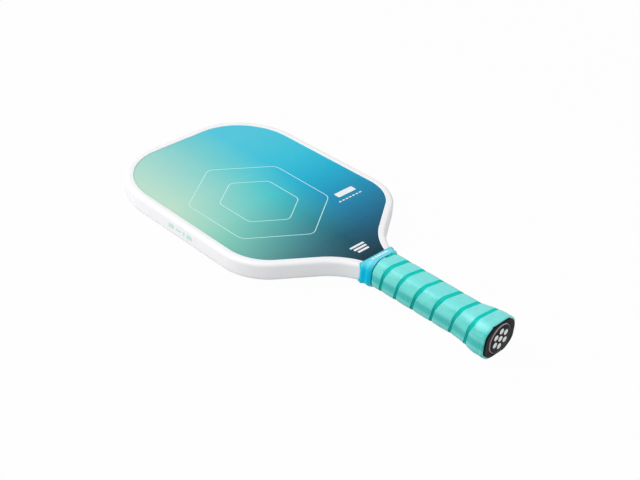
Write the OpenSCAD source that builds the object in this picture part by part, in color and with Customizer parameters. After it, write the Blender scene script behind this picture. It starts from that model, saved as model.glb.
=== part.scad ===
// Pickleball paddle: honeycomb blade, swept edge guard, octagonal handle with a
// flared butt cap, a spiral-wrapped cushion grip and a rubber collar.
//
// X runs across the paddle, +Y from the butt end to the tip of the head and +Z out
// of the front face. The origin is the centre of the butt end, on the blade's mid-plane.

/* [Overall] */
// Length from the butt end to the tip of the head
overall_l = 408.8; // [390:0.4:430]
// Width of the head at its widest, edge guard included
head_w = 200; // [190:0.5:210]
// Length of the grip and butt together, up to the collar
handle_l = 129.4; // [112:0.2:140]

/* [Head outline] */
// Radius of the two top corners
top_corner_r = 66; // [50:1:75]
// How far each side leans in between its widest point and its top corner
side_lean = 2.2; // [0:0.1:6]
// Radius of the two lower corners
low_corner_r = 51; // [42:1:58]
// Height of the lower corners' centres above the collar's lower edge
low_corner_rise = 100.5; // [92:0.5:110]
// Radius of the hollow curve on each side of the neck
neck_r = 62; // [54:1:70]
// Distance of the neck curves' centres below the collar's lower edge
neck_drop = 16; // [12:0.5:20]

/* [Blade] */
// Thickness over both face sheets
blade_t = 16; // [14:0.5:18]
// Thickness of one fibre face sheet
face_t = 0.7; // [0.4:0.1:1.2]
// Thickness of one bonding film
film_t = 0.2; // [0.1:0.05:0.4]
// Width of one honeycomb cell, between the middles of opposite walls
cell_w = 10; // [8:0.5:14]
// Thickness of the honeycomb's walls
cell_wall = 0.5; // [0.3:0.1:1]
// Width of the solid border around the honeycomb
core_border = 1.2; // [0.8:0.1:3]
// Width of the tongue that runs down inside the handle
tongue_w = 26; // [22:0.5:27]

/* [Edge guard] */
// Width of the lip that covers the rim of each face, from the outermost edge
lip_w = 7.4; // [5:0.1:9]
// Height of the lip above the face
lip_t = 0.8; // [0.5:0.1:1.4]
// Thickness of the guard's wall around the edge
guard_wall = 1.5; // [1:0.1:2.2]
// Radius of the guard's outer corners
guard_r = 3.4; // [1.5:0.1:4]
// Chamfer on the inner edge of each lip
lip_chamfer = 0.4; // [0.1:0.1:0.5]
// Thickness of the adhesive tape between the guard and the blade
edge_tape_t = 0.4; // [0.2:0.1:1]
// Width of the adhesive tape
edge_tape_w = 12; // [6:0.5:13]
// Distance from the end of the handle shells to the ends of the guard
guard_start = 9; // [4:0.5:10]

/* [Handle] */
// Width of the bare handle
handle_w = 31.4; // [30:0.2:34]
// Thickness of the bare handle
handle_t = 26.4; // [25:0.2:30]
// Share of the half width and half thickness that each slanted flat takes off
facet_share = 0.46; // [0.35:0.01:0.5]
// Radius that softens the bare handle's eight edges
facet_r = 7; // [2:0.1:8]
// Length of the sloping toe that runs on from each shell over the face
toe_l = 8; // [4:0.5:10]
// Width of the toe
toe_w = 14; // [10:0.5:16]
// Height of the toe's end above the face
toe_end_t = 0.8; // [0.5:0.1:1.5]

/* [Butt cap] */
// Extra half width at the flare
flare_x = 4; // [2:0.1:5]
// Extra half thickness at the flare
flare_z = 2.7; // [1.5:0.1:4]
// Distance from the butt end to where the flare begins to slope
flare_from = 8.5; // [5:0.5:12]
// Distance from the butt end to where the flare has run out
flare_to = 36.5; // [28:0.5:38]
// Distance from the butt end to the end of the cap's skirt
skirt_l = 23; // [20:0.5:25]
// Thickness of the rim that the grip butts against
rim_t = 1.2; // [1:0.1:3]
// How far the rim stands out beyond the skirt
rim_out = 0.2; // [0.1:0.1:1.6]
// Rounding of the rim's outer edge
rim_round = 0.6; // [0.3:0.1:0.9]
// Thickness of the cap's end wall
cap_wall = 3.4; // [2.6:0.1:5]
// Diameter of the round badge
badge_d = 29; // [24:0.5:30]
// Depth of the badge's recess in the end wall
badge_recess = 1.4; // [0.8:0.1:1.8]
// How far the badge stands proud of the end wall
badge_proud = 0.6; // [0.3:0.1:1]
// Chamfer around the badge
badge_chamfer = 0.5; // [0.2:0.1:0.8]
// Groove left free around the badge
badge_groove = 0.6; // [0.3:0.1:1]

/* [Staples] */
// Distance of the cap staples from the butt end
staple_y = 13; // [8:0.5:16]
// Width of a staple's crown
staple_w = 10; // [6:0.5:12]
// Length of a staple's legs
staple_leg = 6; // [4:0.2:6.5]
// Thickness of the staple wire
staple_wire = 0.8; // [0.5:0.1:1.2]

/* [Grip] */
// Thickness of the grip strip
grip_t = 1.8; // [1.2:0.1:2.6]
// Number of full turns between the butt and the collar
grip_turns = 7; // [5:1:9]
// How much closer the turns lie at the two ends than in the middle
wrap_tighten = 0.18; // [0:0.01:0.4]
// Width of the bevel along each edge of the strip
strip_bevel = 1.4; // [0.8:0.1:2]
// Thickness left at the strip's edges
strip_edge_t = 1.1; // [0.5:0.1:1.1]
// Open gap between neighbouring turns
seam_gap = 0.3; // [0.2:0.05:0.6]

/* [Collar] */
// Length of the rubber collar on the faces
collar_l = 12.5; // [11:0.5:17]
// How much shorter the collar is along the neck's two sides
collar_dip = 2.5; // [0:0.1:2.5]
// Thickness of the rubber in the collar's middle
collar_t = 0.7; // [0.5:0.1:1.6]
// Extra thickness of the bead at the grip end
grip_bead = 0.4; // [0.1:0.1:0.8]
// Extra thickness of the bead at the neck end
neck_bead = 0.5; // [0.2:0.1:1.2]
// How far the collar's lower edge stands clear of the bare handle
collar_lift = 1.2; // [0.9:0.1:1.6]
// Thickness of the finishing tape under the collar
finish_tape_t = 0.3; // [0.2:0.05:0.5]
// Length of the finishing tape
finish_tape_l = 4.5; // [3:0.5:5]

/* [Fits] */
// Clearance between glued and wrapped pieces
fit = 0.15; // [0.1:0.01:0.25]
// Clearance between flat layers and between a staple and its slots
film_fit = 0.03; // [0.01:0.01:0.1]

/* [Hidden] */
$fn = 96;

// Blade
half_t = blade_t / 2;
core_t = blade_t - 2 * face_t - 2 * film_t;
blade_inset = guard_wall + edge_tape_t + fit;
tongue_start = badge_proud + cap_wall + fit;
tongue_corner_r = 2;
tongue_end = handle_l + finish_tape_l + 0.5;
guard_end = handle_l + guard_start;
guard_corner_steps = 4;
tongue_corner_steps = 4;
arc_step = 6;

// The circles that the outline follows down the right side, each [x, y, radius] with
// the radius of the guard's outermost edge. The neck curls around the outside of its
// circle, so its radius is negative. The last one is the corner of the tongue.
neck_x = tongue_w / 2 + blade_inset + neck_r;
OUTLINE = [
    [head_w / 2 - side_lean - top_corner_r, overall_l - top_corner_r, top_corner_r],
    [head_w / 2 - low_corner_r, handle_l + low_corner_rise, low_corner_r],
    [neck_x, handle_l - neck_drop, -neck_r],
    [tongue_w / 2 - tongue_corner_r, tongue_start + tongue_corner_r, tongue_corner_r + blade_inset],
];

// Handle
corner_steps = 3;
section_points = 8 * (corner_steps + 1);
grip_start = badge_proud + rim_t + fit;
grip_end = handle_l - fit;
collar_top = handle_l + collar_l;
toe_step = 0.5;
// Corner of a close sleeve around the guarded neck: its cut and its radius
neck_cut = guard_r * (2 - sqrt(2));
neck_corner_r = guard_r * sqrt(0.5);
// Edge radius at the upper end of the finishing tape, and the cut that makes it
tape_end_r = 2;
tape_end_cut = 4;
// Width at which the strip's pointed tips are cut off
strip_tip = 0.5;

// ---- Curves ------------------------------------------------------------------

// A value that goes smoothly from 1 at a to 0 at b
function ease(v, a, b) = v <= a ? 1 : v >= b ? 0 : (1 + cos(180 * (v - a) / (b - a))) / 2;

// The value a share s of the way from a to b
function blend(a, b, s) = a + (b - a) * s;

function unit(v) = v / norm(v);

// The point at this radius and angle from a centre
function polar(c, r, angle) = [c[0] + r * cos(angle), c[1] + r * sin(angle)];

// A list of points mirrored to the other side of the paddle, in reverse order
function mirrored(points) =
    [for (i = [len(points) - 1:-1:0]) let (p = points[i]) [-p[0], p[1]]];

// Direction in which the common tangent of two circles faces outwards
function tangent_normal(a, b) =
    let (dx = b[0] - a[0], dy = b[1] - a[1])
    atan2(dy, dx) + acos((a[2] - b[2]) / norm([dx, dy]));

// Outward direction at the top, where each circle hands over to the next, and at the end
function handovers(circles, end) = [
    90,
    for (i = [0:circles - 2]) tangent_normal(OUTLINE[i], OUTLINE[i + 1]),
    end,
];

// Stations down the right side, each [circle, outward direction]
function stations(circles, end) =
    let (n = handovers(circles, end))
    [for (i = [0:circles - 1])
        let (steps = max(1, ceil(abs(n[i + 1] - n[i]) / arc_step)))
        for (k = [0:steps]) [OUTLINE[i], blend(n[i], n[i + 1], k / steps)]];

// The point of a station that lies this far in from the guard's outermost edge
function edge_point(station, inset) = polar(station[0], station[0][2] - inset, station[1]);

// Direction in which the neck curve, moved in by inset, faces outwards at height y
function neck_direction(y, inset) = -asin((y - OUTLINE[2][1]) / (neck_r + inset));

// The whole closed outline of the blade, moved in by inset. The neck steps in to the
// straight tongue at a shoulder that the collar hides.
function outline(inset) =
    let (
        deeper = inset - blade_inset,
        shoulder = tongue_end + deeper,
        neck = [for (s = stations(3, neck_direction(shoulder, inset))) edge_point(s, inset)],
        tongue = [for (k = [0:tongue_corner_steps])
            edge_point([OUTLINE[3], -90 * k / tongue_corner_steps], inset)],
        right = concat(neck, [[tongue_w / 2 - deeper, shoulder]], tongue)
    )
    concat(right, mirrored(right));

// The guard's half width at height y on the neck
function guard_half_w(y) = neck_x - sqrt(pow(neck_r, 2) - pow(y - OUTLINE[2][1], 2));

// True where a point lies inside a closed outline
function inside(p, points) =
    len([for (i = [0:len(points) - 1])
        let (a = points[i], b = points[(i + 1) % len(points)])
        if ((a[1] > p[1]) != (b[1] > p[1])
            && p[0] < a[0] + (b[0] - a[0]) * (p[1] - a[1]) / (b[1] - a[1])) 1]) % 2 == 1;

// An octagon, counter-clockwise from the left end of its top flat. The slanted flats
// take cut_x off the half width and cut_z off the half thickness.
function octagon(hx, hz, cut_x, cut_z) =
    let (ix = hx - cut_x, iz = hz - cut_z)
    [[-ix, hz], [-hx, iz], [-hx, -iz], [-ix, -hz], [ix, -hz], [hx, -iz], [hx, iz], [ix, hz]];

// A closed outline with each corner rounded to radius r
function rounded(corners, r) =
    [for (i = [0:len(corners) - 1])
        let (
            n = len(corners),
            p = corners[i],
            u = unit(corners[(i + n - 1) % n] - p),
            v = unit(corners[(i + 1) % n] - p),
            half = acos(u * v) / 2,
            out = -(u + v),
            centre = p - unit(out) * r / sin(half),
            from = atan2(out[1], out[0]) - (90 - half)
        )
        for (k = [0:corner_steps]) polar(centre, r, from + 2 * (90 - half) * k / corner_steps)];

// The bare handle's section at height y, grown outwards by grow. It flares at the butt.
function handle_section(y, grow) =
    let (
        f = ease(y, flare_from, flare_to),
        hx = handle_w / 2 + f * flare_x + grow,
        hz = handle_t / 2 + f * flare_z + grow
    )
    rounded(octagon(hx, hz, hx * facet_share, hz * facet_share), facet_r + grow);

// A section stood up at height y
function ring(section, y) = [for (p = section) [p[0], y, p[1]]];

// ---- Building blocks -----------------------------------------------------------

// A solid through rings that have the same number of points, or a tube when closed.
// Each end is capped by faces that list the ring's points: one face unless caps is given.
module loft(rings, closed = false, caps = []) {
    n = len(rings[0]);
    count = len(rings);
    faces = len(caps) > 0 ? caps : [[for (k = [0:n - 1]) k]];
    sides = [for (i = [0:closed ? count - 1 : count - 2]) for (k = [0:n - 1])
        let (j = (i + 1) % count, m = (k + 1) % n)
        [i * n + k, i * n + m, j * n + m, j * n + k]];
    ends = closed ? [] : [
        for (f = faces) [for (k = [0:len(f) - 1]) f[(len(f) - k) % len(f)]],
        for (f = faces) [for (k = f) (count - 1) * n + k],
    ];
    polyhedron([for (r = rings) each r], concat(sides, ends), convexity = 10);
}

// A flat layer with the blade's outline, between two heights
module layer(z0, z1, inset = blade_inset) {
    translate([0, 0, z0]) linear_extrude(z1 - z0) polygon(outline(inset));
}

// A prism along the handle, with a section drawn in X and Z
module along_handle(from, to) {
    rotate([90, 0, 0]) mirror([0, 0, 1]) translate([0, 0, from]) linear_extrude(to - from) children();
}

// Its children and their mirror image at the rear
module front_and_rear() {
    for (side = [0, 1]) mirror([0, 0, side]) children();
}

// ---- Blade ---------------------------------------------------------------------

// Centres of the honeycomb cells that fall inside the core's border
function cell_centres() =
    let (
        border = outline(blade_inset + core_border),
        row_h = cell_w * cos(30),
        rows = ceil(overall_l / row_h),
        columns = ceil(head_w / 2 / cell_w)
    )
    [for (j = [0:rows]) for (i = [-columns:columns])
        let (p = [(i + (j % 2) / 2) * cell_w, j * row_h])
        if (inside(p, border)) p];

module honeycomb_core() {
    color("gainsboro")
    translate([0, 0, -core_t / 2]) linear_extrude(core_t) difference() {
        polygon(outline(blade_inset));
        intersection() {
            polygon(outline(blade_inset + core_border));
            for (p = cell_centres())
                translate(p) rotate(30) circle((cell_w - cell_wall) / 2 / cos(30), $fn = 6);
        }
    }
}

module front_bond_film() {
    color("khaki") layer(core_t / 2, core_t / 2 + film_t);
}

module rear_bond_film() {
    color("khaki") layer(-core_t / 2 - film_t, -core_t / 2);
}

module front_face_sheet() {
    color("darkturquoise") layer(half_t - face_t, half_t);
}

module rear_face_sheet() {
    color("darkturquoise") layer(-half_t, -half_t + face_t);
}

// ---- Edge guard ------------------------------------------------------------------

// Section of the guard as [distance in from the outermost edge, height]: a U that
// hooks over both faces, with round outer corners
function guard_section() =
    let (top = half_t + lip_t, mouth = half_t + film_fit, steps = guard_corner_steps)
    [
        [lip_w, mouth],
        [guard_wall, mouth],
        [guard_wall, -mouth],
        [lip_w, -mouth],
        [lip_w, lip_chamfer - top],
        [lip_w - lip_chamfer, -top],
        for (k = [0:steps]) polar([guard_r, guard_r - top], guard_r, -90 - 90 * k / steps),
        for (k = [0:steps]) polar([guard_r, top - guard_r], guard_r, 180 - 90 * k / steps),
        [lip_w - lip_chamfer, top],
        [lip_w, top - lip_chamfer],
    ];

// The guard's section at one station of the right side, or of the left side
function guard_ring(station, side) =
    [for (p = guard_section()) let (e = edge_point(station, p[0])) [side * e[0], e[1], p[1]]];

module edge_guard() {
    right = stations(3, neck_direction(guard_end, 0));
    // The section's points: four at its mouth, then the rear lip, then the front lip
    rear = 4 + 2 + guard_corner_steps;
    last = len(guard_section()) - 1;
    rear_lip = [for (k = [2:rear]) k];
    wall = [1, 2, rear, rear + 1];
    front_lip = [1, for (k = [rear + 1:last]) k, 0];
    color("white") loft([
        for (i = [len(right) - 1:-1:0]) guard_ring(right[i], 1),
        for (i = [0:len(right) - 1]) guard_ring(right[i], -1),
    ], caps = [rear_lip, wall, front_lip]);
}

module edge_guard_tape() {
    outer = guard_wall + film_fit;
    color("lightgrey")
    translate([0, 0, -edge_tape_w / 2]) linear_extrude(edge_tape_w) difference() {
        polygon(outline(outer));
        polygon(outline(outer + edge_tape_t));
        translate([-head_w, 0]) square([2 * head_w, guard_end]);
    }
}

// ---- Handle ----------------------------------------------------------------------

// The front half of the handle's shell, with the bed for the tongue cut out of it. Its
// side walls thin out where the tongue widens, and its toe slopes down onto the face.
module handle_shell() {
    bed = half_t + film_fit;
    toe_top = handle_t / 2 - toe_step;
    difference() {
        union() {
            along_handle(tongue_start, handle_l) intersection() {
                polygon(handle_section(handle_l, 0));
                translate([-handle_w, 0]) square([2 * handle_w, handle_t]);
            }
            translate([-toe_w / 2, 0, 0]) rotate([90, 0, 90]) linear_extrude(toe_w)
                polygon([[handle_l - toe_l, bed - 1], [handle_l - toe_l, toe_top],
                         [handle_l, toe_top], [handle_l + toe_l, half_t + toe_end_t],
                         [handle_l + toe_l, bed - 1]]);
        }
        layer(-1, bed, blade_inset - fit);
        cap_staple(film_fit);
    }
}

module front_handle_shell() {
    color("tan") handle_shell();
}

module rear_handle_shell() {
    color("tan") mirror([0, 0, 1]) handle_shell();
}

// ---- Butt cap ----------------------------------------------------------------------

module butt_cap() {
    slope_steps = 6;
    corner = rim_out - rim_round;
    color("dimgray") difference() {
        loft([
            ring(handle_section(0, corner), badge_proud),
            ring(handle_section(0, corner + rim_round * sin(45)), badge_proud + rim_round * (1 - cos(45))),
            ring(handle_section(0, rim_out), badge_proud + rim_round),
            ring(handle_section(0, rim_out), badge_proud + rim_t),
            ring(handle_section(0, 0), badge_proud + rim_t),
            for (k = [0:slope_steps])
                let (y = blend(flare_from, skirt_l, k / slope_steps)) ring(handle_section(y, 0), y),
        ]);
        along_handle(badge_proud + cap_wall, 2 * skirt_l) polygon(handle_section(handle_l, fit));
        rotate([-90, 0, 0]) cylinder(h = badge_proud + badge_recess, r = badge_d / 2 + badge_groove);
        front_and_rear() cap_staple(film_fit);
    }
}

module butt_badge() {
    thickness = badge_proud + badge_recess - film_fit;
    color("black") rotate([-90, 0, 0]) rotate_extrude() polygon([
        [0, 0], [badge_d / 2 - badge_chamfer, 0], [badge_d / 2, badge_chamfer],
        [badge_d / 2, thickness], [0, thickness],
    ]);
}

// A staple through the skirt into the front shell, grown all round by grow
module cap_staple(grow) {
    crown_top = handle_t / 2 + ease(staple_y, flare_from, flare_to) * flare_z;
    wide = staple_wire + 2 * grow;
    translate([-staple_w / 2 - grow, staple_y - wide / 2, crown_top - staple_wire - grow])
        cube([staple_w + 2 * grow, wide, wide]);
    for (x = [-1, 1] * (staple_w - staple_wire) / 2)
        translate([x - wide / 2, staple_y - wide / 2, crown_top - staple_leg - grow])
            cube([wide, wide, staple_leg + 2 * grow]);
}

module cap_staples() {
    color("silver") front_and_rear() cap_staple(0);
}

// ---- Grip --------------------------------------------------------------------------

// Height of the wrap's seam after this many turns. The turns lie closer at both ends.
function seam(turn) =
    let (t = turn / grip_turns)
    blend(grip_start, grip_end, t - wrap_tighten * sin(360 * t) / (2 * PI));

// Distance around a section from its first point to point k
function way_round(section, k) =
    k == 0 ? 0 : norm(section[k % len(section)] - section[k - 1]) + way_round(section, k - 1);

// The strip's lower and upper edge at station k, which lies this share of a turn past its
// full turns. Both are trimmed level at the ends of the grip.
function strip_edges(k, share) =
    let (turn = floor(k / section_points) - 1 + share)
    [max(grip_start, seam(turn) + seam_gap / 2), min(grip_end, seam(turn + 1) - seam_gap / 2)];

// The strip's section at station k: from its upper edge back over the bevelled top, then
// along the underside
function strip_section(k, edges) =
    let (
        low = edges[0],
        high = edges[1],
        bevel = min(strip_bevel, (high - low) / 3),
        steps = 4
    )
    [
        strip_point(k, high, strip_edge_t),
        for (i = [0:steps]) strip_point(k, blend(high - bevel, low + bevel, i / steps), grip_t),
        strip_point(k, low, strip_edge_t),
        for (i = [0:steps]) strip_point(k, blend(low, high, i / steps), 0),
    ];

function strip_point(k, y, lift) =
    let (p = handle_section(y, fit + lift)[k % section_points])
    [p[0], y, p[1]];

// One strip wound on from the butt to the collar, with its pointed tips cut off
module cushion_grip() {
    section = handle_section(handle_l, grip_t);
    whole = way_round(section, section_points);
    share = [for (k = [0:section_points - 1]) way_round(section, k) / whole];
    color("turquoise") loft([
        for (k = [0:section_points * (grip_turns + 1) - 1])
            let (edges = strip_edges(k, share[k % section_points]))
            if (edges[1] - edges[0] > strip_tip) strip_section(k, edges)
    ]);
}

// ---- Collar ------------------------------------------------------------------------

// Section of the tape that closes the grip, which follows the slope of the toes
function tape_ring(s, grow) =
    let (
        hx = handle_w / 2 + fit,
        hz = blend(handle_t / 2, half_t + toe_end_t, s * finish_tape_l / toe_l) + fit,
        cut_x = blend(hx * facet_share, tape_end_cut, s),
        cut_z = blend(hz * facet_share, tape_end_cut, s),
        r = blend(facet_r, tape_end_r, s) + grow
    )
    ring(rounded(octagon(hx + grow, hz + grow, cut_x, cut_z), r),
         handle_l + fit + s * finish_tape_l);

module finishing_tape() {
    color("black") loft([
        for (s = [0, 0.5, 1]) tape_ring(s, finish_tape_t),
        for (s = [1, 0.5, 0]) tape_ring(s, 0),
    ], closed = true);
}

// Outline of the collar at a share s of its length, where its neck edge is dip shorter
function collar_outline(s, grow, dip) =
    let (
        hx = blend(handle_w / 2 + collar_lift, guard_half_w(collar_top - dip) + fit, s),
        hz = blend(handle_t / 2 + collar_lift, half_t + lip_t + fit, s),
        cut_x = blend(hx * facet_share, neck_cut, s),
        cut_z = blend(hz * facet_share, neck_cut, s)
    )
    rounded(octagon(hx + grow, hz + grow, cut_x, cut_z), blend(facet_r, neck_corner_r, s) + grow);

// Section of the collar: the handle's octagon at its lower edge, and a flat sleeve around
// the guarded neck at its upper edge, which dips at the neck's two sides
function collar_ring(s, grow) =
    let (on_face = collar_outline(s, grow, 0))
    [for (k = [0:section_points - 1])
        let (
            dip = collar_dip * (1 - pow(on_face[k][1] / on_face[0][1], 4)),
            p = collar_outline(s, grow, dip)[k]
        )
        [p[0], blend(handle_l, collar_top - dip, s), p[1]]];

module grip_collar() {
    // Outer surface as [share of the length, thickness]: a bead at each edge
    profile = [
        [0, collar_t], [0.05, collar_t + grip_bead], [0.17, collar_t + grip_bead],
        [0.26, collar_t], [0.52, collar_t], [0.64, collar_t + 0.6 * neck_bead],
        [0.76, collar_t + neck_bead], [0.9, collar_t + 0.6 * neck_bead], [1, 0.6 * collar_t],
    ];
    color("deepskyblue") loft([
        for (p = profile) collar_ring(p[0], p[1]),
        for (s = [1, 0.75, 0.5, 0.25, 0]) collar_ring(s, 0),
    ], closed = true);
}

honeycomb_core();
front_bond_film();
rear_bond_film();
front_face_sheet();
rear_face_sheet();
edge_guard();
edge_guard_tape();
front_handle_shell();
rear_handle_shell();
butt_cap();
butt_badge();
cap_staples();
cushion_grip();
finishing_tape();
grip_collar();
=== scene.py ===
"""The looks of a pickleball paddle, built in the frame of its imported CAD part.

Shapes are worked out in millimetres, as in the part's source, and made into meshes in
metres. X runs across the paddle, +Y from the butt to the tip and +Z out of the front.
"""

import math

import bmesh
import bpy
import numpy as np
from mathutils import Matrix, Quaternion, Vector

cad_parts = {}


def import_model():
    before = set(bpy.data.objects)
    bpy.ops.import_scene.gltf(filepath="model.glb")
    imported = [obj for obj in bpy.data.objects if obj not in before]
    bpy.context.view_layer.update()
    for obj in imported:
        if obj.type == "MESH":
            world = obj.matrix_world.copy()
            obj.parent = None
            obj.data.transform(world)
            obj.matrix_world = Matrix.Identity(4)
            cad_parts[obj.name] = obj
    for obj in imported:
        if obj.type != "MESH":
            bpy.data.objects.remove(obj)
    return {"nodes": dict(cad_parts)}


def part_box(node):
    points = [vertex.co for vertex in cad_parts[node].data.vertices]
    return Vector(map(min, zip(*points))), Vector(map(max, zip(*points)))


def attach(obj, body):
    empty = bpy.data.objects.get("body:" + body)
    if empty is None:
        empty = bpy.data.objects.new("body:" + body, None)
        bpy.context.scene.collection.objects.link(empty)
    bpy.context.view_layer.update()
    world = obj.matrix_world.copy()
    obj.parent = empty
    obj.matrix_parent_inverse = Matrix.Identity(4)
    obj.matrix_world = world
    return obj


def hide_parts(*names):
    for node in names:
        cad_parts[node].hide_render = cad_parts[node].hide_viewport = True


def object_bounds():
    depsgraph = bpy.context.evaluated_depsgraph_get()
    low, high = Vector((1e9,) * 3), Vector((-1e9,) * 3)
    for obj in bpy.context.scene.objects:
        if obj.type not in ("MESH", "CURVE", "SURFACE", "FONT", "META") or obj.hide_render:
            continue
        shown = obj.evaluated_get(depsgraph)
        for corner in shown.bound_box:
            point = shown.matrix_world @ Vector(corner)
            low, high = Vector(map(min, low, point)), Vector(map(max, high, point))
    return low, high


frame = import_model()
cad_box = [list(corner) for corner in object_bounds()]

MM = 0.001
BODY = "root"


def box_mm(node):
    """Lowest and highest corner of a CAD node, in millimetres."""
    return [np.array(corner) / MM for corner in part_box(node)]


# ---- Sizes in millimetres ----------------------------------------------------------

# As given or worked out in the part's source
HANDLE_L = 129.4
HANDLE_W, HANDLE_T = 31.4, 26.4
FACET_SHARE, FACET_R = 0.46, 7.0
FLARE_X, FLARE_Z, FLARE_FROM, FLARE_TO = 4.0, 2.7, 8.5, 36.5
GUARD_R, GUARD_WALL, LIP_W = 3.4, 1.5, 7.4
GUARD_END = 138.4
NECK_X, NECK_Y, NECK_R = 77.05, 113.4, 62.0
GRIP_T, STRIP_TIP = 1.8, 0.5
GRIP_TURNS, WRAP_TIGHTEN = 7, 0.18
COLLAR_T, COLLAR_LIFT, COLLAR_DIP = 0.7, 1.2, 2.5
SKIRT_L, RIM_OUT, RIM_T, RIM_ROUND, CAP_WALL = 23.0, 0.2, 1.2, 0.6, 3.4
BADGE_CHAMFER, BADGE_RECESS, BADGE_GROOVE = 0.5, 1.4, 0.6
FIT = 0.15

# Circles (x, y, r) along the right half of the head's outline. The last one is hollow.
OUTLINE = [(31.8, 342.8, 66.0), (49.0, 229.9, 51.0), (NECK_X, NECK_Y, -NECK_R)]

# Rounder than in the part's source, as foam and rubber are
STRIP_BEVEL, GRIP_BEAD, NECK_BEAD = 2.4, 0.7, 0.6

# How far printed marks stand out, and how deep guard bars and badge dots are sunk in
INK_T, SINK = 0.03, 0.01

# Measured on the CAD part
FACE_TOP = box_mm("front_face_sheet")[1][2]
GUARD_TOP = box_mm("edge_guard")[1][2]
GRIP_START, GRIP_STOP = (corner[1] for corner in box_mm("cushion_grip"))
GRIP_LOW = box_mm("cushion_grip")[0][2]
COLLAR_START, COLLAR_STOP = (corner[1] for corner in box_mm("grip_collar"))
CAP_START = box_mm("butt_cap")[0][1]
BADGE_R, BADGE_BACK = box_mm("butt_badge")[1][:2]


# ---- Curves and sections -----------------------------------------------------------

def ease(v, a, b):
    """Goes smoothly from 1 at a to 0 at b."""
    return (1 + np.cos(np.pi * np.clip((v - a) / (b - a), 0, 1))) / 2


def between(a, b, s):
    """The value a share s of the way from a to b."""
    return a + (b - a) * s


def bump(v, centre, half_width):
    """A smooth hump of height 1."""
    return (1 + np.cos(np.pi * np.clip((v - centre) / half_width, -1, 1))) / 2


def unit(v):
    """Vectors brought to length 1."""
    return v / np.linalg.norm(v, axis=-1, keepdims=True)


def arc(centre, r, start, stop, count):
    """Points on a circle, by their angle from straight up towards the right."""
    return [(centre[0] + r * math.sin(a), centre[1] + r * math.cos(a))
            for a in np.linspace(start, stop, count)]


def octagon(hx, hz, cut_x, cut_z):
    """Corners of octagons, counter-clockwise from the left end of the top flat."""
    ix, iz = hx - cut_x, hz - cut_z
    corners = [(-ix, hz), (-hx, iz), (-hx, -iz), (-ix, -hz),
               (ix, -hz), (hx, -iz), (hx, iz), (ix, hz)]
    return np.stack([np.stack(np.broadcast_arrays(*c), -1) for c in corners], -2)


def rounded(corners, r, steps, flats=0):
    """Outlines with each corner rounded to radius r in so many steps, and with flats more
    points on each side."""
    r = np.asarray(r, float)[..., None, None]
    u = unit(np.roll(corners, 1, -2) - corners)
    v = unit(np.roll(corners, -1, -2) - corners)
    half = np.arccos((u * v).sum(-1)) / 2
    out = -(u + v)
    centre = corners - unit(out) * r / np.sin(half)[..., None]
    start = np.arctan2(out[..., 1], out[..., 0]) - (np.pi / 2 - half)
    t = np.linspace(0, 1, steps + 1)
    angle = start[..., None] + (np.pi - 2 * half)[..., None] * t
    arcs = centre[..., None, :] + r[..., None] * np.stack([np.cos(angle), np.sin(angle)], -1)
    if flats:
        last, first = arcs[..., -1, :], np.roll(arcs[..., 0, :], -1, -2)
        share = (np.arange(flats) + 1)[:, None] / (flats + 1)
        on_sides = between(last[..., None, :], first[..., None, :], share)
        arcs = np.concatenate([arcs, on_sides], -2)
    return arcs.reshape(*arcs.shape[:-3], -1, 2)


def bar_outline(x0, x1, y0, y1, corner_r):
    """A rectangle with round corners."""
    corners = np.array([(x0, y0), (x1, y0), (x1, y1), (x0, y1)], float)
    return rounded(corners, corner_r, 4)


def handle_section(y, grow, steps, flats, softer=0):
    """The bare handle's outline at y, grown outwards. It flares at the butt."""
    f = ease(y, FLARE_FROM, FLARE_TO)
    hx = HANDLE_W / 2 + f * FLARE_X + grow
    hz = HANDLE_T / 2 + f * FLARE_Z + grow
    corners = octagon(hx, hz, hx * FACET_SHARE, hz * FACET_SHARE)
    return rounded(corners, FACET_R + grow + softer, steps, flats)


def stood_up(section, y):
    """A section in X and Z as points at y."""
    across, up = section[..., 0], section[..., 1]
    return np.stack([across, np.broadcast_to(y, across.shape), up], -1)


def laid_flat(outline, z):
    """An outline in X and Y as points at height z."""
    return np.column_stack([outline, np.full(len(outline), z)])


# ---- Meshes ------------------------------------------------------------------------

SHARP_ANGLE = math.radians(40)


def added(name, data):
    """A new object in the scene."""
    obj = bpy.data.objects.new(name, data)
    bpy.context.scene.collection.objects.link(obj)
    return obj


def signed_volume(mesh):
    """Below zero where the faces look inwards."""
    shape = bmesh.new()
    shape.from_mesh(mesh)
    volume = shape.calc_volume(signed=True)
    shape.free()
    return volume


def piece(name, points, faces, material, slot):
    """A smooth-shaded mesh object, from points in millimetres, that rides on the paddle."""
    mesh = bpy.data.meshes.new(name)
    mesh.from_pydata((np.asarray(points) * MM).tolist(), [], faces)
    mesh.update()
    if signed_volume(mesh) < 0:
        mesh.flip_normals()
    mesh.shade_smooth()
    mesh.set_sharp_from_angle(angle=SHARP_ANGLE)
    mesh.materials.append(material)
    obj = added(name, mesh)
    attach(obj, BODY)
    return obj


def loft_faces(count, n, closed=False):
    """Quads between count rings of n points each. Closed joins the last ring to the first."""
    faces = []
    for i in range(count if closed else count - 1):
        a, b = i * n, (i + 1) % count * n
        faces += [(a + k, a + (k + 1) % n, b + (k + 1) % n, b + k) for k in range(n)]
    return faces


def capped_loft(rings):
    """Points and faces of a solid through rings, with a face at each end."""
    count, n = rings.shape[:2]
    ends = [tuple(reversed(range(n))), tuple(range((count - 1) * n, count * n))]
    return rings.reshape(-1, 3), loft_faces(count, n) + ends


def looped_loft(rings):
    """Points and faces of a solid through rings, the last of which joins the first."""
    count, n = rings.shape[:2]
    return rings.reshape(-1, 3), loft_faces(count, n, closed=True)


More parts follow.
